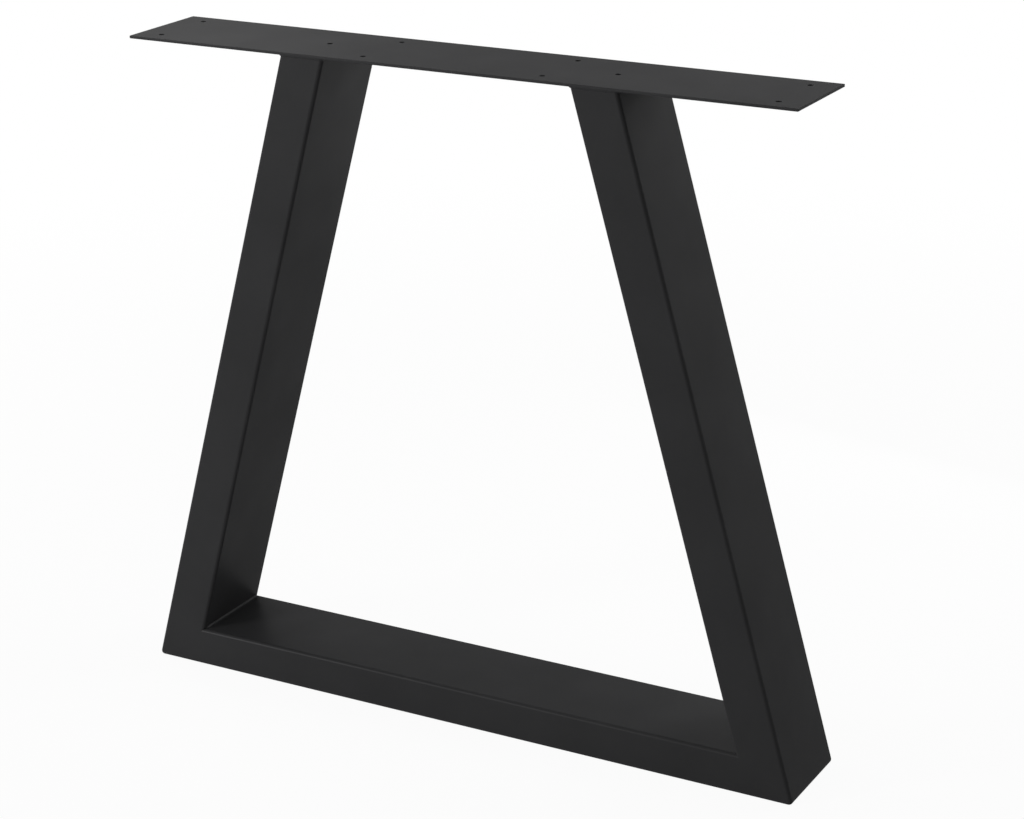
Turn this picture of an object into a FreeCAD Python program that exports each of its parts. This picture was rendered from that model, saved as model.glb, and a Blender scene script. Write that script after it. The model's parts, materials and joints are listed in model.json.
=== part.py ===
import FreeCAD, Part

import math
import os

import Sketcher
from FreeCAD import Placement, Rotation, Vector

# Trestle table leg: two slanted rectangular tubes and a floor tube, mitred and welded into a
# frame that narrows upwards, under a flat drilled plate that is screwed to the table top.
# X runs along the frame, Y through its depth and Z up, with the origin on the floor at its middle.

# Driving dimensions in millimetres: name, size and meaning.
SIZES = [
    ("overall_height", 720, "floor to the upper face of the mounting plate"),
    ("base_width", 785, "frame width at the floor, to the sharp outer corners"),
    ("top_spread", 384, "over both legs, under the mounting plate"),
    ("tube_depth", 110, "depth of all tubes"),
    ("leg_width", 50, "width of a leg tube, square to its length"),
    ("base_height", 44, "height of the floor tube"),
    ("tube_wall", 2, "wall of all tubes"),
    ("tube_radius", 4, "outer radius along the long edges of the tubes"),
    ("corner_round", 4, "radius ground on the outer foot corners"),
    ("plate_length", 758, "mounting plate along the frame"),
    ("plate_width", 115, "mounting plate across the frame"),
    ("plate_thickness", 3, "mounting plate"),
    ("plate_edge_round", 0.5, "broken edges of the mounting plate"),
    ("hole_end_margin", 27.5, "outer screw holes from the ends of the plate"),
    ("hole_side_margin", 19.5, "rows of screw holes from the sides of the plate"),
    ("inner_hole_pitch", 205, "between the inner screw holes along the plate"),
    ("screw_hole", 6, "diameter of the screw holes"),
    ("vent_hole", 6, "diameter of the vent holes over the legs"),
    ("corner_weld", 2.5, "radius of the bead in the inner foot corners"),
    ("plate_weld", 2.2, "leg of the fillet weld under the plate"),
    ("weld_toe", 0.4, "thickness of that weld at its lower edge"),
    ("overrun", 10, "how far a cutting outline runs past what it cuts"),
]
SIDES = {"left": -1, "right": 1}

doc = FreeCAD.newDocument("trestle_table_leg")


class Dim:
    """A size as a formula on the document's named values, along with its present value."""

    def __init__(self, formula, value):
        self.formula = formula
        self.value = value

    def __add__(self, other):
        other = as_dim(other)
        return Dim(f"({self.formula} + {other.formula})", self.value + other.value)

    def __sub__(self, other):
        other = as_dim(other)
        return Dim(f"({self.formula} - {other.formula})", self.value - other.value)

    def __mul__(self, other):
        other = as_dim(other)
        return Dim(f"({self.formula} * {other.formula})", self.value * other.value)

    def __truediv__(self, other):
        other = as_dim(other)
        return Dim(f"({self.formula} / {other.formula})", self.value / other.value)

    def __neg__(self):
        return self * -1

    __rmul__ = __mul__


def as_dim(size):
    return size if isinstance(size, Dim) else Dim(f"({size})", size)


def sine(angle):
    return Dim(f"sin({angle.formula})", math.sin(math.radians(angle.value)))


def cosine(angle):
    return Dim(f"cos({angle.formula})", math.cos(math.radians(angle.value)))


def tangent(angle):
    return Dim(f"tan({angle.formula})", math.tan(math.radians(angle.value)))


def arctangent(ratio):
    return Dim(f"atan({ratio.formula})", math.degrees(math.atan(ratio.value)))


def fill_sheet():
    """Writes the driving dimensions to a sheet and returns them by name."""
    sheet = doc.addObject("Spreadsheet::Sheet", "Sizes")
    dims = {}
    for row, (name, millimetres, meaning) in enumerate(SIZES, start=1):
        sheet.set(f"A{row}", meaning)
        sheet.set(f"B{row}", str(millimetres))
        sheet.setAlias(f"B{row}", name)
        dims[name] = Dim(f"Sizes.{name}", millimetres)
    return dims


def derive(name, dim, kind="App::PropertyFloat"):
    """Keeps a worked-out size in the document under its own name."""
    derived.addProperty(kind, name)
    derived.setExpression(name, dim.formula)
    return Dim(f"Derived.{name}", dim.value)


size = fill_sheet()
doc.recompute()
derived = doc.addObject("App::VarSet", "Derived")
ZERO = as_dim(0)
HALF_RIGHT_ANGLE = Dim("45 deg", 45)

leg_height = derive("leg_height", size["overall_height"] - size["plate_thickness"])
foot_spread = derive("foot_spread", (size["base_width"] - size["top_spread"]) / 2)
lean = derive("lean", arctangent(foot_spread / leg_height), "App::PropertyAngle")
# A leg's width measured level, and the length of tube that reaches past both of its saw cuts.
leg_span = derive("leg_span", size["leg_width"] / cosine(lean))
leg_length = derive("leg_length", leg_height / cosine(lean) + size["leg_width"] * tangent(lean))
leg_top_x = derive("leg_top_x", size["top_spread"] / 2 - leg_span / 2)
# The mitre runs from the outer foot corner on the floor to the inner corner on the floor tube.
outer_x = derive("outer_x", size["base_width"] / 2)
inner_x = derive("inner_x", outer_x - size["base_height"] * tangent(lean) - leg_span)
mitre_slope = derive("mitre_slope", size["base_height"] / (outer_x - inner_x))
# How far the ground round of an outer foot corner reaches along the floor and up the leg.
round_reach = derive(
    "round_reach", size["corner_round"] * tangent(HALF_RIGHT_ANGLE + lean / 2)
)


def new_body(label):
    body = doc.addObject("PartDesign::Body", label)
    body.Label = label
    return body


def new_sketch(body, name, plane, offset=(ZERO, ZERO, ZERO), tilt=None, tilt_axis=Vector(0, 1, 0)):
    """Adds a sketch on one of the body's own planes, moved and tilted by bound sizes."""
    sketch = body.newObject("Sketcher::SketchObject", name)
    sketch.AttachmentSupport = [
        (feature, "") for feature in body.Origin.OriginFeatures if feature.Role == plane
    ]
    sketch.MapMode = "FlatFace"
    sketch.AttachmentOffset = Placement(
        Vector(*(move.value for move in offset)),
        Rotation(tilt_axis, tilt.value if tilt else 0),
    )
    for axis, move in zip("xyz", offset):
        sketch.setExpression(f"AttachmentOffset.Base.{axis}", move.formula)
    if tilt:
        sketch.setExpression("AttachmentOffset.Rotation.Angle", tilt.formula)
    return sketch


def hold(sketch, bound, *where):
    """Adds a dimension to a sketch and binds it to a size."""
    index = sketch.addConstraint(Sketcher.Constraint(*where, bound.value))
    sketch.renameConstraint(index, f"dimension_{index}")
    sketch.setExpression(f"Constraints.dimension_{index}", bound.formula)


def pin(sketch, edge, point, x, y):
    """Holds a point of an edge at x, y in its sketch."""
    hold(sketch, x, "DistanceX", -1, 1, edge, point)
    hold(sketch, y, "DistanceY", -1, 1, edge, point)


def draw_polygon(sketch, corners):
    """Draws a closed outline of straight edges through the corners."""
    points = [Vector(x.value, y.value, 0) for x, y in corners]
    first = sketch.GeometryCount
    for start, end in zip(points, points[1:] + points[:1]):
        sketch.addGeometry(Part.LineSegment(start, end))
    for step, (x, y) in enumerate(corners):
        following = first + (step + 1) % len(corners)
        sketch.addConstraint(Sketcher.Constraint("Coincident", first + step, 2, following, 1))
        pin(sketch, first + step, 1, x, y)


def draw_circle(sketch, x, y, diameter):
    circle = Part.Circle(Vector(x.value, y.value, 0), Vector(0, 0, 1), diameter.value / 2)
    edge = sketch.addGeometry(circle)
    pin(sketch, edge, 3, x, y)
    hold(sketch, diameter, "Diameter", edge)


def draw_rounded_rectangle(sketch, width, height, radius):
    """Draws a rectangle about the sketch's origin with its corners rounded."""
    first = sketch.GeometryCount
    middle_x = width / 2 - radius
    middle_y = height / 2 - radius
    corners = [(-middle_x, -middle_y), (middle_x, -middle_y), (middle_x, middle_y), (-middle_x, middle_y)]
    for quarter, (x, y) in enumerate(corners):
        start = math.radians(180 + 90 * quarter)
        round_end = Part.Circle(Vector(x.value, y.value, 0), Vector(0, 0, 1), radius.value)
        sketch.addGeometry(Part.ArcOfCircle(round_end, start, start + math.pi / 2))
    for quarter in range(4):
        this_arc = sketch.Geometry[first + quarter]
        next_arc = sketch.Geometry[first + (quarter + 1) % 4]
        sketch.addGeometry(Part.LineSegment(this_arc.EndPoint, next_arc.StartPoint))
    for quarter, (x, y) in enumerate(corners):
        arc = first + quarter
        side = first + 4 + quarter
        next_arc = first + (quarter + 1) % 4
        sketch.addConstraint(Sketcher.Constraint("Tangent", arc, 2, side, 1))
        sketch.addConstraint(Sketcher.Constraint("Tangent", side, 2, next_arc, 1))
        sketch.addConstraint(Sketcher.Constraint("Vertical" if quarter % 2 else "Horizontal", side))
    for quarter in range(1, 4):
        sketch.addConstraint(Sketcher.Constraint("Equal", first, first + quarter))
    hold(sketch, radius, "Radius", first)
    pin(sketch, first, 3, *corners[0])
    pin(sketch, first + 2, 3, *corners[2])


def draw_wedge(sketch, side, centre, radius, first, second, apex):
    """Draws an arc from first to second, anticlockwise on the right side of the frame and mirrored
    on the left, and closes it with two straight edges that meet at an apex."""
    if side < 0:
        first, second = second, first
    middle, start, end, tip = (Vector(x.value, y.value, 0) for x, y in (centre, first, second, apex))
    angles = [math.atan2(point.y - middle.y, point.x - middle.x) for point in (start, end)]
    circle = Part.Circle(middle, Vector(0, 0, 1), radius.value)
    arc = sketch.addGeometry(Part.ArcOfCircle(circle, *angles))
    leaving = sketch.addGeometry(Part.LineSegment(end, tip))
    returning = sketch.addGeometry(Part.LineSegment(tip, start))
    sketch.addConstraint(Sketcher.Constraint("Coincident", arc, 2, leaving, 1))
    sketch.addConstraint(Sketcher.Constraint("Coincident", leaving, 2, returning, 1))
    sketch.addConstraint(Sketcher.Constraint("Coincident", returning, 2, arc, 1))
    pin(sketch, arc, 3, *centre)
    pin(sketch, returning, 1, *apex)
    hold(sketch, radius, "Radius", arc)
    for arc_end, (x, y), angle in zip((1, 2), (first, second), angles):
        if abs(math.sin(angle)) > abs(math.cos(angle)):
            hold(sketch, x, "DistanceX", -1, 1, arc, arc_end)
        else:
            hold(sketch, y, "DistanceY", -1, 1, arc, arc_end)


def pad(body, sketch, length, symmetric=False):
    feature = body.newObject("PartDesign::Pad", f"{sketch.Name}_pad")
    feature.Profile = sketch
    feature.SideType = "Symmetric" if symmetric else "One side"
    feature.setExpression("Length", length.formula)
    return feature


def cut_through(body, sketch):
    """Cuts the sketched outline through the body, to both sides of its plane."""
    feature = body.newObject("PartDesign::Pocket", f"{sketch.Name}_pocket")
    feature.Profile = sketch
    feature.SideType = "Symmetric"
    feature.Type = "ThroughAll"
    return feature


def loft(body, kind, lower, upper):
    feature = body.newObject(f"PartDesign::{kind}", f"{lower.Name}_loft")
    feature.Profile = lower
    feature.Sections = [upper]
    feature.Ruled = True
    return feature


def draw_tube_section(sketch, width, height):
    """Draws the outer and inner outline of a rectangular tube."""
    wall = size["tube_wall"]
    draw_rounded_rectangle(sketch, width, height, size["tube_radius"])
    draw_rounded_rectangle(sketch, width - wall * 2, height - wall * 2, size["tube_radius"] - wall)


def cut_mitre(body, name, side, waste_level):
    """Saws the body along a foot mitre and takes away the waste as far as a level."""
    sketch = new_sketch(body, f"{name}_mitre", "XZ_Plane")
    overrun = size["overrun"]
    far_x = outer_x + overrun
    near_x = inner_x - overrun
    drop = mitre_slope * overrun
    draw_polygon(sketch, [
        (side * far_x, -drop),
        (side * near_x, size["base_height"] + drop),
        (side * near_x, waste_level),
        (side * far_x, waste_level),
    ])
    cut_through(body, sketch)


def cut_foot_round(body, name, side):
    """Grinds the outer foot corner round, tangent to the floor and to the leg's outer face."""
    sketch = new_sketch(body, f"{name}_round", "XZ_Plane")
    radius = size["corner_round"]
    floor_point = (side * (outer_x - round_reach), ZERO)
    leg_point = (side * (outer_x - round_reach * sine(lean)), round_reach * cosine(lean))
    centre = (floor_point[0], radius)
    outside = (side * (outer_x + radius), -radius)
    draw_wedge(sketch, side, centre, radius, floor_point, leg_point, outside)
    cut_through(body, sketch)


def make_leg(label, side):
    """Leg tube: a length of tube leaning inwards, sawn to the mitre below and level above."""
    body = new_body(label)
    half_width = size["leg_width"] / 2
    foot = (side * (outer_x - half_width * cosine(lean)), ZERO, -half_width * sine(lean))
    section = new_sketch(body, f"{label}_section", "XY_Plane", foot, lean, Vector(0, -side, 0))
    draw_tube_section(section, size["leg_width"], size["tube_depth"])
    pad(body, section, leg_length)
    cut_mitre(body, label, side, -size["leg_width"])
    level = new_sketch(body, f"{label}_level", "XZ_Plane")
    far_x = size["top_spread"] / 2 + size["overrun"]
    near_x = size["top_spread"] / 2 - leg_span * 2
    waste_top = leg_height + size["leg_width"]
    draw_polygon(level, [
        (side * far_x, leg_height),
        (side * near_x, leg_height),
        (side * near_x, waste_top),
        (side * far_x, waste_top),
    ])
    cut_through(body, level)
    cut_foot_round(body, label, side)
    return body


def make_base(label):
    """Floor tube: a length of tube lying along X, mitred at both ends."""
    body = new_body(label)
    section = new_sketch(body, f"{label}_section", "YZ_Plane", (ZERO, size["base_height"] / 2, ZERO))
    draw_tube_section(section, size["tube_depth"], size["base_height"])
    pad(body, section, size["base_width"], symmetric=True)
    for name, side in SIDES.items():
        cut_mitre(body, f"{label}_{name}", side, size["base_height"] + size["leg_width"])
        cut_foot_round(body, f"{label}_{name}", side)
    return body


def make_plate(label):
    """Mounting plate: a flat strip with broken edges, two rows of screw holes and two vent holes."""
    body = new_body(label)
    half_length = size["plate_length"] / 2
    half_width = size["plate_width"] / 2
    outline = new_sketch(body, f"{label}_outline", "XY_Plane", (ZERO, ZERO, leg_height))
    draw_polygon(outline, [
        (-half_length, -half_width),
        (half_length, -half_width),
        (half_length, half_width),
        (-half_length, half_width),
    ])
    strip = pad(body, outline, size["plate_thickness"])
    doc.recompute()
    edges = body.newObject("PartDesign::Fillet", f"{label}_edges")
    edges.Base = (strip, [f"Edge{number}" for number in range(1, len(strip.Shape.Edges) + 1)])
    edges.setExpression("Radius", size["plate_edge_round"].formula)
    holes = new_sketch(body, f"{label}_holes", "XY_Plane", (ZERO, ZERO, leg_height))
    row_y = half_width - size["hole_side_margin"]
    for side in SIDES.values():
        for x in (half_length - size["hole_end_margin"], size["inner_hole_pitch"] / 2):
            for row in (-1, 1):
                draw_circle(holes, side * x, row * row_y, size["screw_hole"])
        draw_circle(holes, side * leg_top_x, ZERO, size["vent_hole"])
    cut_through(body, holes)
    return body


def make_corner_weld(label, side):
    """Bead in the inner foot corner: a round sector between the floor tube and the leg."""
    body = new_body(label)
    section = new_sketch(body, f"{label}_section", "XZ_Plane")
    radius = size["corner_weld"]
    corner = (side * inner_x, size["base_height"])
    floor_point = (side * (inner_x - radius), size["base_height"])
    leg_point = (side * (inner_x - radius * sine(lean)), size["base_height"] + radius * cosine(lean))
    draw_wedge(section, side, corner, radius, leg_point, floor_point, corner)
    pad(body, section, size["tube_depth"] - size["tube_radius"] * 2, symmetric=True)
    return body


def make_plate_weld(label, side):
    """Fillet weld round the top of a leg, from a thin toe on the tube to the plate's underside."""
    body = new_body(label)

    def leg_outline(name, level, growth):
        """Level outline of the leg at a height, grown outwards all round."""
        x = side * (leg_top_x + (leg_height - level) * tangent(lean))
        sketch = new_sketch(body, f"{label}_{name}", "XY_Plane", (x, ZERO, level))
        width = leg_span + growth * 2
        draw_rounded_rectangle(
            sketch, width, size["tube_depth"] + growth * 2, size["tube_radius"] + growth
        )
        return sketch

    toe_level = leg_height - size["plate_weld"]
    toe = leg_outline("toe", toe_level, size["weld_toe"])
    face = leg_outline("face", leg_height, size["plate_weld"])
    loft(body, "AdditiveLoft", toe, face)
    below = leg_outline("below", toe_level - size["overrun"], ZERO)
    above = leg_outline("above", leg_height + size["overrun"], ZERO)
    loft(body, "SubtractiveLoft", below, above)
    return body


def write_parts(bodies):
    """Checks every object and writes each body to its own file."""
    doc.recompute()
    for thing in doc.Objects:
        if "Invalid" in thing.State or "Error" in thing.State:
            raise RuntimeError(f"{thing.Label} failed: {thing.State}")
        is_pocket = thing.TypeId == "PartDesign::Pocket"
        if is_pocket and thing.Shape.Volume >= thing.BaseFeature.Shape.Volume:
            raise RuntimeError(f"{thing.Label} cuts nothing")
    for body in bodies:
        if body.Shape.isNull() or not body.Shape.isValid() or len(body.Shape.Solids) != 1:
            raise RuntimeError(f"{body.Label} is not one valid solid")
    os.makedirs("parts", exist_ok=True)
    for body in bodies:
        body.Shape.exportStep(f"parts/{body.Label}.step")
        print(f"{body.Label}: {body.Shape.Volume:.0f} cubic mm")


bodies = [make_base("base_tube"), make_plate("mounting_plate")]
for name, side in SIDES.items():
    bodies.append(make_leg(f"{name}_leg_tube", side))
    bodies.append(make_corner_weld(f"{name}_corner_weld", side))
    bodies.append(make_plate_weld(f"{name}_plate_weld", side))
write_parts(bodies)
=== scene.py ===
import json
import math

import bmesh
import bpy
from bpy.props import FloatProperty, FloatVectorProperty, IntProperty, PointerProperty
from bpy.types import Operator, Panel, PropertyGroup
from mathutils import Matrix, Vector


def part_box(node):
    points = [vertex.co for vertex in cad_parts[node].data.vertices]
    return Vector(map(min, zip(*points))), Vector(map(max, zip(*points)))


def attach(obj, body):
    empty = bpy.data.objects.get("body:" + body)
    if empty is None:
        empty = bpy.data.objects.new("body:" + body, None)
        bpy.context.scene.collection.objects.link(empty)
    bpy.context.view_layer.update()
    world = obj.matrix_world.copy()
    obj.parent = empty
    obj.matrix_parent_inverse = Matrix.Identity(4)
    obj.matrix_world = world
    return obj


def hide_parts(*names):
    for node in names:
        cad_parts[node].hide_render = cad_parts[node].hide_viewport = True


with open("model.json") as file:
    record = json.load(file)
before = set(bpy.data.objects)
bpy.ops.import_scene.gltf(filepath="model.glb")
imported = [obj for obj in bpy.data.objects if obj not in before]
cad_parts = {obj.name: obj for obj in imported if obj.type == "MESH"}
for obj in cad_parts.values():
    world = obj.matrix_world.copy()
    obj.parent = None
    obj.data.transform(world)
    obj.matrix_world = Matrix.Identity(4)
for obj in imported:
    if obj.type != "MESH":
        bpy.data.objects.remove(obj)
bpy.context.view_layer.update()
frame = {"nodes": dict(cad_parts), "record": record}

bl_info = {
    "name": "Trestle table leg",
    "version": (1, 0, 0),
    "blender": (4, 5, 0),
    "location": "View3D > Sidebar > Trestle leg",
    "description": "Dresses a welded tube trestle leg in black powder coat, with soft edges and weld beads",
    "category": "Object",
}

BODY = "root"
SIDES = {"left": -1, "right": 1}
TINY = 1e-6
MM = 0.001

# Creases above this angle stay sharp in the shading.
SHARP_ANGLE = math.radians(35)

# Edges of the plate above this angle are broken.
CORNER_ANGLE = math.radians(60)

# Lines of the right half of the frame, seen from the front, read from the solids in metres.
BASE_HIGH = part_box("base_tube")[1]
PLATE_LOW, PLATE_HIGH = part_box("mounting_plate")
BEAD_LOW, BEAD_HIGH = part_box("right_corner_weld")
RING_LOW, RING_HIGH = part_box("right_plate_weld")
LEG_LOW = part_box("right_leg_tube")[0]
HALF_DEPTH = BASE_HIGH.y
BASE_TOP = BASE_HIGH.z
LEG_TOP = PLATE_LOW.z
LEG_TOP_XS = [
    vertex.co.x
    for vertex in frame["nodes"]["right_leg_tube"].data.vertices
    if vertex.co.z > LEG_TOP - TINY
]
LEG_SPAN = max(LEG_TOP_XS) - min(LEG_TOP_XS)
LEG_TOP_X = (max(LEG_TOP_XS) + min(LEG_TOP_XS)) / 2
INNER_CORNER = Vector((BEAD_HIGH.x, 0, BASE_TOP))
LEAN_SLOPE = (INNER_CORNER.x - LEG_LOW.x) / (LEG_TOP - BASE_TOP)
LEAN = math.atan(LEAN_SLOPE)
FOOT_CORNER = Vector((LEG_TOP_X + LEG_SPAN / 2 + LEAN_SLOPE * LEG_TOP, 0, 0))


class TubeSettings(PropertyGroup):
    """Edges and walls of the three tubes."""

    edge_round: FloatProperty(
        name="Edge round", description="Radius along the long edges of the tubes",
        default=4 * MM, min=0.5 * MM, max=8 * MM, precision=4, unit="LENGTH",
    )
    foot_round: FloatProperty(
        name="Foot round", description="Radius ground on the outer foot corners",
        default=4.5 * MM, min=0.5 * MM, max=12 * MM, precision=4, unit="LENGTH",
    )
    wall: FloatProperty(
        name="Wall", description="Wall of the tubes",
        default=2 * MM, min=1 * MM, max=3.5 * MM, precision=4, unit="LENGTH",
    )
    round_steps: IntProperty(
        name="Round steps", description="Faces across a rounded edge", default=8, min=2, max=24,
    )


class PlateSettings(PropertyGroup):
    """Edges and holes of the mounting plate."""

    edge_round: FloatProperty(
        name="Edge round", description="Broken edges of the plate",
        default=0.5 * MM, min=0.1 * MM, max=1.4 * MM, precision=4, unit="LENGTH",
    )
    hole_rim: FloatProperty(
        name="Hole rim", description="Broken edge of each drilled hole",
        default=0.3 * MM, min=0.1 * MM, max=1 * MM, precision=4, unit="LENGTH",
    )
    vent_radius: FloatProperty(
        name="Vent radius", description="Radius of the vent hole over each leg",
        default=3 * MM, min=1 * MM, max=8 * MM, precision=4, unit="LENGTH",
    )
    hole_steps: IntProperty(
        name="Hole steps", description="Faces round a drilled hole", default=40, min=12, max=96,
    )


class WeldSettings(PropertyGroup):
    """Beads in the inner foot corners and round the leg tops."""

    ripple_pitch: FloatProperty(
        name="Ripple pitch", description="From one weld ripple to the next",
        default=3.2 * MM, min=1 * MM, max=10 * MM, precision=4, unit="LENGTH",
    )
    ripple_share: FloatProperty(
        name="Ripple height", description="Ripple height as a share of the bead's radius",
        default=0.09, min=0, max=0.4, subtype="FACTOR",
    )
    end_taper: FloatProperty(
        name="End taper", description="Length over which a corner bead runs out at its ends",
        default=3 * MM, min=0.5 * MM, max=10 * MM, precision=4, unit="LENGTH",
    )


class CoatSettings(PropertyGroup):
    """Satin powder coat."""

    colour: FloatVectorProperty(
        name="Colour", description="Colour of the powder coat",
        default=(0.0285, 0.0285, 0.0295), min=0, max=1, subtype="COLOR",
    )
    roughness: FloatProperty(
        name="Roughness", description="Mean roughness of the matt body of the coat",
        default=0.7, min=0.05, max=1, subtype="FACTOR",
    )
    haze: FloatProperty(
        name="Haze", description="Specular level of the matt body of the coat",
        default=0.01, min=0, max=1, subtype="FACTOR",
    )
    gloss: FloatProperty(
        name="Gloss", description="Share of the surface that the satin skin of the coat covers",
        default=0.11, min=0, max=1, subtype="FACTOR",
    )
    gloss_roughness: FloatProperty(
        name="Gloss roughness", description="Roughness of the satin skin",
        default=0.35, min=0.05, max=1, subtype="FACTOR",
    )
    peel_size: FloatProperty(
        name="Peel size", description="Width of one orange-peel dimple",
        default=1.6 * MM, min=0.3 * MM, max=5 * MM, precision=4, unit="LENGTH",
    )
    peel_height: FloatProperty(
        name="Peel height", description="Depth of the orange peel",
        default=0.03 * MM, min=0, max=0.3 * MM, precision=5, unit="LENGTH",
    )


class StageSettings(PropertyGroup):
    """Camera and soft studio light."""

    azimuth: FloatProperty(
        name="Azimuth", description="Camera turned from the front towards the right leg",
        default=math.radians(28.933), subtype="ANGLE",
    )
    elevation: FloatProperty(
        name="Elevation", description="Camera height above the level",
        default=math.radians(19.95), subtype="ANGLE",
    )
    roll: FloatProperty(
        name="Roll", description="Camera turned about its own line of sight",
        default=math.radians(-0.672), subtype="ANGLE",
    )
    distance: FloatProperty(
        name="Distance", description="Camera to the point that it looks at",
        default=2.6858, min=0.5, unit="LENGTH",
    )
    target: FloatVectorProperty(
        name="Target", description="Point that the camera looks at",
        default=(0.0435, 0, 0.3527), subtype="XYZ", unit="LENGTH",
    )
    lens: FloatProperty(
        name="Lens", description="Focal length in millimetres on a 36 mm wide sensor",
        default=90.47, min=20, max=300, unit="CAMERA",
    )
    lamp_size: FloatProperty(
        name="Lamp size", description="Width and height of each soft lamp",
        default=0.8, min=0.1, unit="LENGTH",
    )


class TrestleLegSettings(PropertyGroup):
    """All sizes and colours of the dressed leg."""

    tube: PointerProperty(type=TubeSettings)
    plate: PointerProperty(type=PlateSettings)
    weld: PointerProperty(type=WeldSettings)
    coat: PointerProperty(type=CoatSettings)
    stage: PointerProperty(type=StageSettings)


class Shade:
    """An output socket of a node tree. Arithmetic on it adds Math nodes to that tree."""

    def __init__(self, tree, socket=None):
        self.tree = tree
        self.socket = socket

    def node(self, kind, options, inputs, output=0):
        """Adds a node, sets its options, fills or links its sockets and gives one of its outputs."""
        node = self.tree.nodes.new(kind)
        for name, value in options.items():
            setattr(node, name, value)
        for key, value in inputs.items():
            if isinstance(value, Shade):
                self.tree.links.new(value.socket, node.inputs[key])
            else:
                node.inputs[key].default_value = value
        return Shade(self.tree, node.outputs[output] if node.outputs else None)

    def math(self, operation, first, second):
        """Adds a Math node."""
        return self.node("ShaderNodeMath", {"operation": operation}, {0: first, 1: second})

    def __add__(self, other):
        return self.math("ADD", self, other)

    def __sub__(self, other):
        return self.math("SUBTRACT", self, other)

    def __rsub__(self, other):
        return self.math("SUBTRACT", other, self)

    def __mul__(self, other):
        return self.math("MULTIPLY", self, other)

    def __or__(self, other):
        return self.math("MAXIMUM", self, other)

    __radd__ = __add__
    __rmul__ = __mul__
    __ror__ = __or__


def settings():
    """The sizes and colours that are set in this scene."""
    return bpy.context.scene.trestle_leg


def new_material(name):
    """An empty node material and the start of its node expressions."""
    material = bpy.data.materials.new(name)
    material.use_nodes = True
    material.node_tree.nodes.clear()
    return material, Shade(material.node_tree)


# Film of the powder coat: how fine its clouds and grain are, and how far they move the finish.
CLOUDS_PER_METRE = 14
CLOUD_TONE = 0.1
CLOUD_ROUGHNESS = 0.12
CLOUD_GLOSS = 0.6
GRAIN_SIZE = 0.35 * MM
GRAIN_ROUGHNESS = 0.08
GRAIN_HEIGHT = 0.2

# Sockets of a Mix node for colours, where one name stands for several sockets.
MIX_FACTOR, MIX_A, MIX_B = 0, 6, 7
MIX_RESULT = 2

# Tone against the coat's colour, and how much smoother than the coat, of each finish. The tones above 1 are
# painted light on the same black coat.
FINISHES_AND_PAINTED_LIGHT = {
    "black_powder_coat": (1.0, 0.0),
    # Plate lighter: painted light for the stronger light falling on its top.
    "plate_powder_coat": (1.1, 0.0),
    # Beads lighter: a painted highlight along the weld lines.
    "bead_powder_coat": (1.15, 0.1),
}


def noise(shade, place, scale, detail, offset=(0, 0, 0)):
    """Soft noise from 0 to 1, moved by offset so that two of them don't run alike."""
    moved = shade.node("ShaderNodeMapping", {}, {"Vector": place, "Location": offset})
    return shade.node(
        "ShaderNodeTexNoise", {}, {"Vector": moved, "Scale": scale, "Detail": detail, "Roughness": 0.5},
    )


def swing(pattern, amount):
    """A pattern from 0 to 1, turned into a change of that amount about zero."""
    return amount * (pattern - 0.5)


def powder_coat(name, painted_light_tone, smoother):
    """Satin powder coat: orange peel, a fine grain and clouds of thicker and thinner film, with the colour
    scaled by a tone that paints light onto the plate's and beads' copies.
    """
    coat = settings().coat
    material, shade = new_material(name)
    place = shade.node("ShaderNodeTexCoord", {}, {}, "Object")
    cloud = noise(shade, place, CLOUDS_PER_METRE, detail=3)
    grain = noise(shade, place, 1 / GRAIN_SIZE, detail=1, offset=(3, 1, 2))
    peel = noise(shade, place, 1 / coat.peel_size, detail=2, offset=(1, 4, 2))
    # The tone scales the whole colour: painted light on the plate and beads, 1 on the tubes.
    thin = [channel * painted_light_tone * (1 - CLOUD_TONE) for channel in coat.colour]
    thick = [channel * painted_light_tone * (1 + CLOUD_TONE) for channel in coat.colour]
    colour = shade.node(
        "ShaderNodeMix", {"data_type": "RGBA"},
        {MIX_FACTOR: cloud, MIX_A: (*thin, 1), MIX_B: (*thick, 1)}, MIX_RESULT,
    )
    mean_roughness = coat.roughness - smoother
    roughness = mean_roughness + swing(cloud, CLOUD_ROUGHNESS) + swing(grain, GRAIN_ROUGHNESS)
    gloss = coat.gloss * (1 + swing(cloud, CLOUD_GLOSS))
    height = peel + GRAIN_HEIGHT * grain
    bump = shade.node(
        "ShaderNodeBump", {}, {"Height": height, "Distance": coat.peel_height, "Strength": 1}
    )
    surface = shade.node(
        "ShaderNodeBsdfPrincipled", {},
        {
            "Base Color": colour, "Roughness": roughness, "Specular IOR Level": coat.haze, "Normal": bump,
            "Coat Weight": gloss, "Coat Roughness": coat.gloss_roughness,
        },
    )
    shade.node("ShaderNodeOutputMaterial", {}, {"Surface": surface})
    return material


def finish(name):
    """The finish of that name, made when it is first asked for; the plate's and beads' finishes carry
    painted light in their lighter tone.
    """
    return bpy.data.materials.get(name) or powder_coat(name, *FINISHES_AND_PAINTED_LIGHT[name])


def add_piece(name, bm, node, material):
    """Turns a bmesh into a smooth piece that stands for a solid of the frame."""
    bmesh.ops.recalc_face_normals(bm, faces=bm.faces)
    mesh = bpy.data.meshes.new(name)
    bm.to_mesh(mesh)
    bm.free()
    mesh.shade_smooth()
    mesh.set_sharp_from_angle(angle=SHARP_ANGLE)
    mesh.materials.append(material)
    piece = bpy.data.objects.new(name, mesh)
    bpy.context.scene.collection.objects.link(piece)
    normals = piece.modifiers.new("Even flats", "WEIGHTED_NORMAL")
    normals.keep_sharp = True
    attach(piece, BODY)
    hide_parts(node)


def near(value, wanted):
    """Whether a place is the wanted one, but for rounding errors."""
    return abs(value - wanted) < TINY


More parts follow.
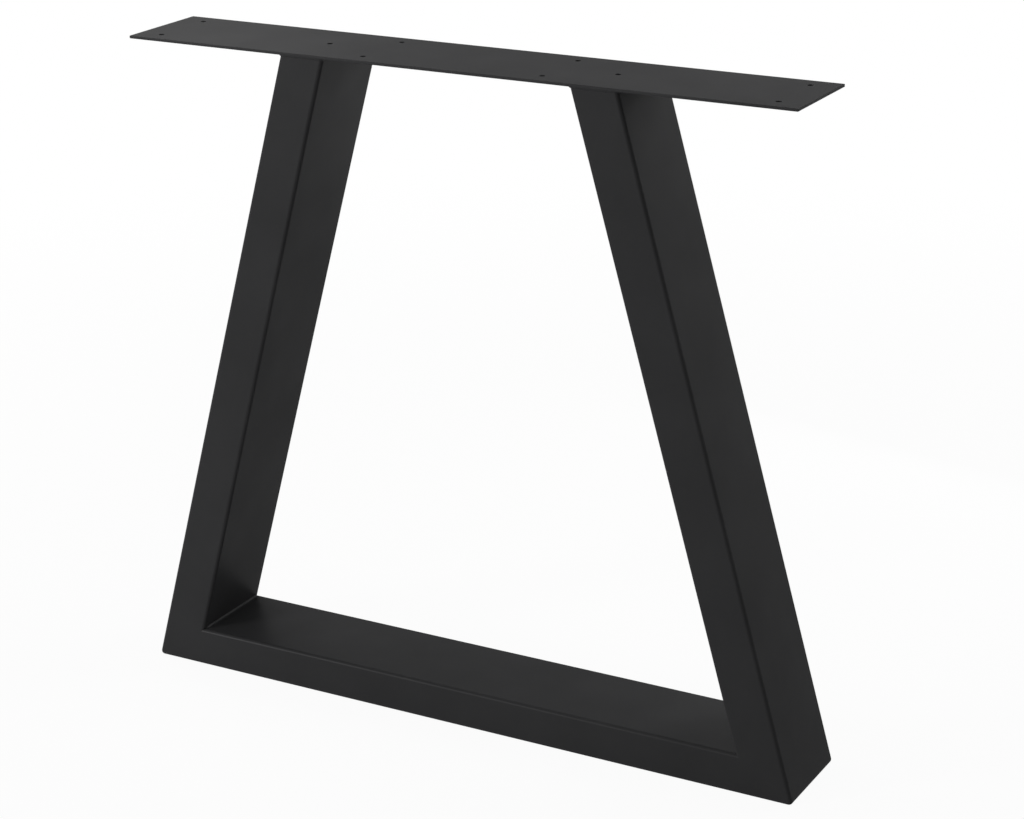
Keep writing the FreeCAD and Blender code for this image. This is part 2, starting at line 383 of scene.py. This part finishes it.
def round_edges(bm, edges, radius, steps):
    """Rounds the edges, with that many faces across each."""
    bmesh.ops.bevel(
        bm, geom=edges, offset=radius, offset_type="OFFSET", segments=steps,
        profile=0.5, affect="EDGES", material=-1,
    )


def leg_face_x(level, inset, outer):
    """Where the outer or inner face of the right leg stands at a level, moved into the wall by inset."""
    level_inset = inset / math.cos(LEAN)
    face = FOOT_CORNER.x - LEAN_SLOPE * level
    return face - level_inset if outer else face - LEG_SPAN + level_inset


def half_frame_shell(bm, inset, edge_round, foot_round, steps):
    """Right half of the frame as one open prism, with rounded long edges and a ground foot corner."""
    floor = inset
    ceiling = BASE_TOP - inset
    half_depth = HALF_DEPTH - inset
    foot_x = leg_face_x(floor, inset, True)
    outline = [
        (0, floor),
        (foot_x, floor),
        (leg_face_x(LEG_TOP, inset, True), LEG_TOP),
        (leg_face_x(LEG_TOP, inset, False), LEG_TOP),
        (leg_face_x(ceiling, inset, False), ceiling),
        (0, ceiling),
    ]
    front = bm.faces.new([bm.verts.new((x, -half_depth, z)) for x, z in outline])
    extruded = bmesh.ops.extrude_face_region(bm, geom=[front])["geom"]
    back = [part for part in extruded if isinstance(part, bmesh.types.BMVert)]
    bmesh.ops.translate(bm, verts=back, vec=(0, 2 * half_depth, 0))
    if foot_round:
        reach = foot_round * math.tan(math.pi / 4 + LEAN / 2)
        foot_edge = [
            edge for edge in bm.edges
            if all(near(vertex.co.x, foot_x) and near(vertex.co.z, floor) for vertex in edge.verts)
        ]
        round_edges(bm, foot_edge, reach, steps)
    long_edges = [
        edge for edge in bm.edges
        if any(all(near(vertex.co.y, y) for vertex in edge.verts) for y in (-half_depth, half_depth))
        and not all(near(vertex.co.x, 0) for vertex in edge.verts)
        and not all(near(vertex.co.z, LEG_TOP) for vertex in edge.verts)
    ]
    round_edges(bm, long_edges, edge_round, steps)
    ends = [
        face for face in bm.faces
        if all(near(vertex.co.x, 0) for vertex in face.verts)
        or all(near(vertex.co.z, LEG_TOP) for vertex in face.verts)
    ]
    bmesh.ops.delete(bm, geom=ends, context="FACES")


# Edges shorter than this, left by the mitre cut, are closed up.
SLIVER = 0.02 * MM


def half_frame(keep_leg):
    """Leg or half floor tube on the right side, hollow, cut along the mitre and closed by its sawn wall."""
    tube = settings().tube
    bm = bmesh.new()
    half_frame_shell(bm, tube.wall, tube.edge_round - tube.wall, 0, tube.round_steps)
    half_frame_shell(bm, 0, tube.edge_round, tube.foot_round, tube.round_steps)
    across = (FOOT_CORNER - INNER_CORNER).normalized()
    mitre_normal = Vector((-across.z, 0, across.x))
    bmesh.ops.bisect_plane(
        bm, geom=bm.verts[:] + bm.edges[:] + bm.faces[:], dist=TINY,
        plane_co=INNER_CORNER, plane_no=mitre_normal, clear_inner=keep_leg, clear_outer=not keep_leg,
    )
    bmesh.ops.dissolve_degenerate(bm, dist=SLIVER, edges=bm.edges[:])
    rims = [edge for edge in bm.edges if edge.is_boundary]
    top_rim = [edge for edge in rims if all(near(vertex.co.z, LEG_TOP) for vertex in edge.verts)]
    middle_rim = [edge for edge in rims if all(near(vertex.co.x, 0) for vertex in edge.verts)]
    mitre_rim = [edge for edge in rims if edge not in top_rim and edge not in middle_rim]
    bmesh.ops.triangle_fill(bm, use_beauty=True, edges=mitre_rim, normal=mitre_normal)
    if keep_leg:
        bmesh.ops.triangle_fill(bm, use_beauty=True, edges=top_rim, normal=(0, 0, 1))
    return bm


class OBJECT_OT_trestle_tubes(Operator):
    """Model both leg tubes and the floor tube"""

    bl_idname = "object.trestle_tubes"
    bl_label = "Frame tubes"

    def execute(self, context):
        coat = finish("black_powder_coat")
        for name, side in SIDES.items():
            bm = half_frame(True)
            bmesh.ops.scale(bm, vec=(side, 1, 1), verts=bm.verts)
            add_piece(f"{name}_leg", bm, f"{name}_leg_tube", coat)
        bm = half_frame(False)
        bmesh.ops.mirror(bm, geom=bm.verts[:] + bm.edges[:] + bm.faces[:], axis="X", merge_dist=TINY)
        add_piece("floor_bar", bm, "base_tube", coat)
        return {"FINISHED"}


def plate_holes():
    """Centre and radius of every hole in the mounting plate."""
    for mount in frame["record"]["mounts"]:
        if mount["kind"] == "bolt_pattern":
            dims = mount["dims"]
            for across in (-0.5, 0.5):
                for along in (-0.5, 0.5):
                    x = along * dims["spacing_x_mm"] * MM
                    y = across * dims["spacing_y_mm"] * MM
                    yield x, y, dims["hole_r_mm"] * MM
    for side in SIDES.values():
        yield side * LEG_TOP_X, 0, settings().plate.vent_radius


# Faces across the broken edges of the plate and of its holes.
PLATE_EDGE_STEPS = 3
HOLE_RIM_STEPS = 2


class OBJECT_OT_trestle_plate(Operator):
    """Model the drilled mounting plate"""

    bl_idname = "object.trestle_plate"
    bl_label = "Mounting plate"

    def execute(self, context):
        plate = settings().plate
        span = PLATE_HIGH - PLATE_LOW
        under = Matrix.Translation((0, 0, PLATE_LOW.z))
        bm = bmesh.new()
        bmesh.ops.create_grid(
            bm, x_segments=1, y_segments=1, size=0.5, matrix=under @ Matrix.Diagonal((span.x, span.y, 1, 1))
        )
        bmesh.ops.delete(bm, geom=bm.faces[:], context="FACES_ONLY")
        for x, y, radius in plate_holes():
            bmesh.ops.create_circle(
                bm, segments=plate.hole_steps, radius=radius, matrix=Matrix.Translation((x, y, 0)) @ under
            )
        bmesh.ops.triangle_fill(bm, use_beauty=True, edges=bm.edges[:], normal=(0, 0, 1))
        extruded = bmesh.ops.extrude_face_region(bm, geom=bm.faces[:])["geom"]
        upper = [part for part in extruded if isinstance(part, bmesh.types.BMVert)]
        bmesh.ops.translate(bm, verts=upper, vec=(0, 0, span.z))
        bmesh.ops.recalc_face_normals(bm, faces=bm.faces)
        corners = [edge for edge in bm.edges if edge.calc_face_angle(0) > CORNER_ANGLE]
        outside = [
            edge for edge in corners
            if all(
                near(abs(vertex.co.x), span.x / 2) or near(abs(vertex.co.y), span.y / 2)
                for vertex in edge.verts
            )
        ]
        rims = [edge for edge in corners if edge not in outside]
        round_edges(bm, rims, plate.hole_rim, HOLE_RIM_STEPS)
        outside = [edge for edge in outside if edge.is_valid]
        round_edges(bm, outside, plate.edge_round, PLATE_EDGE_STEPS)
        add_piece("top_plate", bm, "mounting_plate", finish("plate_powder_coat"))
        return {"FINISHED"}


# Corner beads: faces across and along, how far a ripple bows, and how much a bead sinks at its very ends.
BEAD_FACES_ACROSS = 8
BEAD_FACES_ALONG = 240
RIPPLE_BOW = 0.6
END_DROP = 0.95


class OBJECT_OT_trestle_corner_beads(Operator):
    """Model the weld bead in each inner foot corner"""

    bl_idname = "object.trestle_corner_beads"
    bl_label = "Corner beads"

    def execute(self, context):
        weld = settings().weld
        coat = finish("bead_powder_coat")
        radius = BEAD_HIGH.x - BEAD_LOW.x
        half_length = BEAD_HIGH.y
        leg_angle = math.pi / 2 + LEAN
        for name, side in SIDES.items():
            bm = bmesh.new()
            bmesh.ops.create_grid(
                bm, x_segments=BEAD_FACES_ACROSS, y_segments=BEAD_FACES_ALONG, size=1
            )
            for vertex in bm.verts:
                across, along, _ = vertex.co
                y = along * half_length
                run_out = max(0, 1 - (half_length - abs(y)) / weld.end_taper)
                lag = RIPPLE_BOW * weld.ripple_pitch * across ** 2
                wave = math.cos(2 * math.pi * (y + lag) / weld.ripple_pitch)
                ripple = 1 - weld.ripple_share * (1 + wave) / 2
                reach = radius * ripple * math.sqrt(1 - END_DROP * run_out ** 2)
                angle = leg_angle + (across + 1) / 2 * (math.pi - leg_angle)
                vertex.co = INNER_CORNER + Vector((reach * math.cos(angle), y, reach * math.sin(angle)))
            extruded = bmesh.ops.extrude_face_region(bm, geom=bm.faces[:])["geom"]
            for part in extruded:
                if isinstance(part, bmesh.types.BMVert):
                    part.co = INNER_CORNER + Vector((0, part.co.y, 0))
            bmesh.ops.remove_doubles(bm, verts=bm.verts, dist=TINY)
            bmesh.ops.scale(bm, vec=(side, 1, 1), verts=bm.verts)
            add_piece(f"{name}_corner_bead", bm, f"{name}_corner_weld", coat)
        return {"FINISHED"}


def ring_point(distance, half_x, half_y, radius):
    """Point and outward direction, as complex numbers, on the way round a rectangle with round corners."""
    arc = math.pi / 2 * radius
    for quarter in range(4):
        out, along = (half_x, half_y) if quarter % 2 == 0 else (half_y, half_x)
        side = 2 * (along - radius)
        turn = 1j ** quarter
        if distance <= side:
            return complex(out, distance - side / 2) * turn, turn
        if distance <= side + arc:
            angle = (distance - side) / radius
            outward = complex(math.cos(angle), math.sin(angle))
            return (complex(out - radius, along - radius) + radius * outward) * turn, outward * turn
        distance -= side + arc
    return complex(half_x, radius - half_y), 1


# Plate beads: faces along a ripple and up the bead, swell of its face, and ripples against a corner bead's.
FACES_A_RIPPLE = 6
BEAD_STEPS = 5
BEAD_SWELL = 0.18
PLATE_RIPPLE = 2


class OBJECT_OT_trestle_plate_beads(Operator):
    """Model the fillet weld round the top of each leg"""

    bl_idname = "object.trestle_plate_beads"
    bl_label = "Plate beads"

    def execute(self, context):
        weld = settings().weld
        radius = settings().tube.edge_round
        coat = finish("bead_powder_coat")
        leg = RING_HIGH.z - RING_LOW.z
        length = 2 * (LEG_SPAN + 2 * HALF_DEPTH) - (8 - 2 * math.pi) * radius
        ripples = round(length / weld.ripple_pitch)
        # Width and height over the toe, from the toe to the plate, back to the leg and down again.
        shares = [step / BEAD_STEPS for step in range(BEAD_STEPS + 1)]
        section = [(min(1, share + BEAD_SWELL * math.sin(math.pi * share)), share) for share in shares]
        section += [(0, 1), (0, 0)]
        for name, side in SIDES.items():
            bm = bmesh.new()
            bmesh.ops.create_grid(
                bm, x_segments=FACES_A_RIPPLE * ripples, y_segments=len(section) - 1, size=0.5
            )
            for vertex in bm.verts:
                share = vertex.co.x + 0.5
                width, height = section[round((vertex.co.y + 0.5) * (len(section) - 1))]
                wave = math.cos(2 * math.pi * ripples * share)
                ripple = 1 - PLATE_RIPPLE * weld.ripple_share * (1 + wave) / 2
                point, outward = ring_point(share * length, LEG_SPAN / 2, HALF_DEPTH, radius)
                place = point + outward * leg * width * ripple
                down = leg * (1 - height)
                vertex.co = (LEG_TOP_X + LEAN_SLOPE * down + place.real, place.imag, LEG_TOP - down)
            bmesh.ops.remove_doubles(bm, verts=bm.verts, dist=TINY)
            bmesh.ops.scale(bm, vec=(side, 1, 1), verts=bm.verts)
            add_piece(f"{name}_plate_bead", bm, f"{name}_plate_weld", coat)
        return {"FINISHED"}


# Floor: half its width and how far it lies under the leg, in metres, and the grey that it is lit in.
FLOOR_REACH = 30
FLOOR_DROP = 0.2 * MM
FLOOR_GREY = 0.8

# Share of plain white in the seen floor, near the leg and far from it, and where it grows, in metres.
WHITE_NEAR, WHITE_FAR = 0.95, 1
FADE_START, FADE_END = 0.6, 2.4


def background_mask(shade):
    """1 for the rays that show the background: straight to the camera, by gloss or through glass."""
    rays = [
        shade.node("ShaderNodeLightPath", {}, {}, ray)
        for ray in ("Is Camera Ray", "Is Glossy Ray", "Is Transmission Ray")
    ]
    return rays[0] | rays[1] | rays[2]


def pale_floor():
    """Pale floor, white in the picture, that keeps a soft part of the shadow close to the leg."""
    material, shade = new_material("pale_floor")
    seen = background_mask(shade)
    place = shade.node("ShaderNodeTexCoord", {}, {}, "Object")
    away = shade.node("ShaderNodeVectorMath", {"operation": "LENGTH"}, {0: place}, "Value")
    white_share = shade.node(
        "ShaderNodeMapRange", {"interpolation_type": "SMOOTHSTEP"},
        {
            "Value": away, "From Min": FADE_START, "From Max": FADE_END,
            "To Min": WHITE_NEAR, "To Max": WHITE_FAR,
        },
    )
    lit = shade.node("ShaderNodeBsdfDiffuse", {}, {"Color": (FLOOR_GREY, FLOOR_GREY, FLOOR_GREY, 1)})
    white = shade.node("ShaderNodeEmission", {}, {"Color": (1, 1, 1, 1), "Strength": 1})
    surface = shade.node("ShaderNodeMixShader", {}, {0: seen * white_share, 1: lit, 2: white})
    shade.node("ShaderNodeOutputMaterial", {}, {"Surface": surface})
    return material


def studio_world():
    """White surroundings that show in the picture and in gloss, and leave the lighting to the lamps."""
    world = bpy.data.worlds.new("studio")
    world.use_nodes = True
    world.node_tree.nodes.clear()
    shade = Shade(world.node_tree)
    seen = background_mask(shade)
    surface = shade.node("ShaderNodeBackground", {}, {"Color": (1, 1, 1, 1), "Strength": seen})
    shade.node("ShaderNodeOutputWorld", {}, {"Surface": surface})
    return world


# Width of the camera's sensor in millimetres.
SENSOR_WIDTH = 36

# Place in metres and power in watts of each soft lamp.
LAMPS = {
    "key_box": ((-2.6, -3.1, 1.1), 88.0),
    "front_box": ((-0.85, -2.65, 0.95), 12.0),
    "left_box": ((-1.5, 0.4, 1.2), 7.5),
    "back_left_box": ((-1.4, 1.2, 1.6), 3.6),
    "low_back_box": ((0.2, 0.9, 0.45), 2.0),
    "back_right_box": ((1.2, 1.3, 1.3), 11.5),
    "right_box": ((2.2, 0.3, 0.45), 2.5),
    "top_box": ((0, 0, 2.2), 7.0),
}


def soft_box(name, place, power):
    """A soft square lamp, turned to the middle of the leg and out of the camera's sight."""
    lamp = bpy.data.lights.new(name, "AREA")
    lamp.size = settings().stage.lamp_size
    lamp.energy = power
    box = bpy.data.objects.new(name, lamp)
    middle = Vector((0, 0, LEG_TOP / 2))
    box.location = place
    box.rotation_euler = (middle - box.location).to_track_quat("-Z", "Y").to_euler()
    box.visible_camera = False
    bpy.context.scene.collection.objects.link(box)


class SCENE_OT_trestle_stage(Operator):
    """Set the pale floor, the soft lamps and the camera"""

    bl_idname = "scene.trestle_stage"
    bl_label = "Studio stage"

    def execute(self, context):
        stage = settings().stage
        scene = context.scene
        bm = bmesh.new()
        bmesh.ops.create_grid(
            bm, x_segments=1, y_segments=1, size=FLOOR_REACH,
            matrix=Matrix.Translation((0, 0, -FLOOR_DROP)),
        )
        mesh = bpy.data.meshes.new("studio_floor")
        bm.to_mesh(mesh)
        bm.free()
        mesh.materials.append(pale_floor())
        floor = bpy.data.objects.new("studio_floor", mesh)
        scene.collection.objects.link(floor)
        scene.world = studio_world()
        for name, lamp in LAMPS.items():
            soft_box(name, *lamp)
        camera = bpy.data.objects.new("camera", bpy.data.cameras.new("camera"))
        camera.data.lens = stage.lens
        camera.data.sensor_width = SENSOR_WIDTH
        turn = (
            Matrix.Rotation(stage.azimuth, 4, "Z")
            @ Matrix.Rotation(math.pi / 2 - stage.elevation, 4, "X")
            @ Matrix.Rotation(stage.roll, 4, "Z")
        )
        target = Matrix.Translation(stage.target)
        camera.matrix_world = target @ turn @ Matrix.Translation((0, 0, stage.distance))
        scene.collection.objects.link(camera)
        scene.camera = camera
        scene.view_settings.view_transform = "Standard"
        return {"FINISHED"}


OPERATORS = [
    OBJECT_OT_trestle_tubes,
    OBJECT_OT_trestle_plate,
    OBJECT_OT_trestle_corner_beads,
    OBJECT_OT_trestle_plate_beads,
    SCENE_OT_trestle_stage,
]


class VIEW3D_PT_trestle_leg(Panel):
    """Lists the pieces of the trestle leg and the stage"""

    bl_idname = "VIEW3D_PT_trestle_leg"
    bl_label = "Trestle table leg"
    bl_space_type = "VIEW_3D"
    bl_region_type = "UI"
    bl_category = "Trestle leg"

    def draw(self, context):
        for operator in OPERATORS:
            self.layout.operator(operator.bl_idname)


CLASSES = [
    TubeSettings,
    PlateSettings,
    WeldSettings,
    CoatSettings,
    StageSettings,
    TrestleLegSettings,
    *OPERATORS,
    VIEW3D_PT_trestle_leg,
]


def register():
    for item in CLASSES:
        bpy.utils.register_class(item)
    bpy.types.Scene.trestle_leg = PointerProperty(type=TrestleLegSettings)


def unregister():
    del bpy.types.Scene.trestle_leg
    for item in reversed(CLASSES):
        bpy.utils.unregister_class(item)


def main():
    """Builds the pieces and the stage."""
    register()
    bpy.ops.object.trestle_tubes()
    bpy.ops.object.trestle_plate()
    bpy.ops.object.trestle_corner_beads()
    bpy.ops.object.trestle_plate_beads()
    bpy.ops.scene.trestle_stage()


if __name__ == "__main__":
    main()
